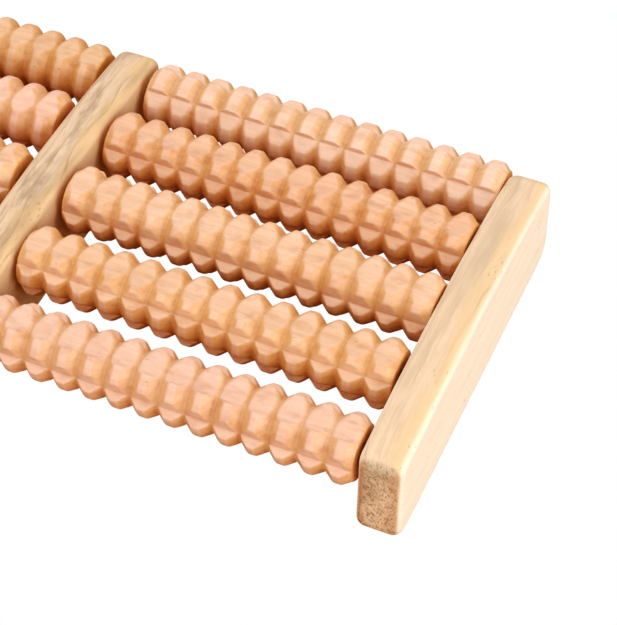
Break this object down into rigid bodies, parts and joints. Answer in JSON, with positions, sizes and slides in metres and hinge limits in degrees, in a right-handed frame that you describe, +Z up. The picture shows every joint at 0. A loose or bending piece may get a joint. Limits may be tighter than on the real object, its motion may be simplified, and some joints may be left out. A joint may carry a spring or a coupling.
{
  "type": "foot massage roller",
  "caption": "Free-standing wooden foot massager: ringed, fluted rollers spin freely on steel rods held between arched rails, with a bay for each foot.",
  "frame": {"origin": "on the ground, at the middle of the footprint, under the centre rail", "axes": "+X along the rollers towards the right end rail, +Y from the front row to the back row, +Z up"},
  "size_m": [0.28, 0.127, 0.0367],
  "materials": {
    "rail_wood": "satin lacquer over pale straight-grained hardwood",
    "roller_wood": "satin varnish over reddish turned hardwood",
    "axle_steel": "drawn bright steel rod"
  },
  "bodies": {
    "frame": {"left_end_rail": "rail_wood", "centre_rail": "rail_wood", "right_end_rail": "rail_wood", "axle_rod_1": "axle_steel", "axle_rod_2": "axle_steel", "axle_rod_3": "axle_steel", "axle_rod_4": "axle_steel", "axle_rod_5": "axle_steel"},
    "left_roller_1": {"left_roller_1": "roller_wood"},
    "left_roller_2": {"left_roller_2": "roller_wood"},
    "left_roller_3": {"left_roller_3": "roller_wood"},
    "left_roller_4": {"left_roller_4": "roller_wood"},
    "left_roller_5": {"left_roller_5": "roller_wood"},
    "right_roller_1": {"right_roller_1": "roller_wood"},
    "right_roller_2": {"right_roller_2": "roller_wood"},
    "right_roller_3": {"right_roller_3": "roller_wood"},
    "right_roller_4": {"right_roller_4": "roller_wood"},
    "right_roller_5": {"right_roller_5": "roller_wood"}
  },
  "joints": [
    {"name": "left_roller_1_spin", "type": "hinge", "parent": "frame", "child": "left_roller_1", "pos_m": [-0.0667, -0.0532, 0.0233], "axis": [1, 0, 0], "continuous": true},
    {"name": "left_roller_2_spin", "type": "hinge", "parent": "frame", "child": "left_roller_2", "pos_m": [-0.0667, -0.0266, 0.0257], "axis": [1, 0, 0], "continuous": true},
    {"name": "left_roller_3_spin", "type": "hinge", "parent": "frame", "child": "left_roller_3", "pos_m": [-0.0667, 0, 0.0265], "axis": [1, 0, 0], "continuous": true},
    {"name": "left_roller_4_spin", "type": "hinge", "parent": "frame", "child": "left_roller_4", "pos_m": [-0.0667, 0.0266, 0.0257], "axis": [1, 0, 0], "continuous": true},
    {"name": "left_roller_5_spin", "type": "hinge", "parent": "frame", "child": "left_roller_5", "pos_m": [-0.0667, 0.0532, 0.0233], "axis": [1, 0, 0], "continuous": true},
    {"name": "right_roller_1_spin", "type": "hinge", "parent": "frame", "child": "right_roller_1", "pos_m": [0.0667, -0.0532, 0.0233], "axis": [1, 0, 0], "continuous": true},
    {"name": "right_roller_2_spin", "type": "hinge", "parent": "frame", "child": "right_roller_2", "pos_m": [0.0667, -0.0266, 0.0257], "axis": [1, 0, 0], "continuous": true},
    {"name": "right_roller_3_spin", "type": "hinge", "parent": "frame", "child": "right_roller_3", "pos_m": [0.0667, 0, 0.0265], "axis": [1, 0, 0], "continuous": true},
    {"name": "right_roller_4_spin", "type": "hinge", "parent": "frame", "child": "right_roller_4", "pos_m": [0.0667, 0.0266, 0.0257], "axis": [1, 0, 0], "continuous": true},
    {"name": "right_roller_5_spin", "type": "hinge", "parent": "frame", "child": "right_roller_5", "pos_m": [0.0667, 0.0532, 0.0233], "axis": [1, 0, 0], "continuous": true}
  ]
}
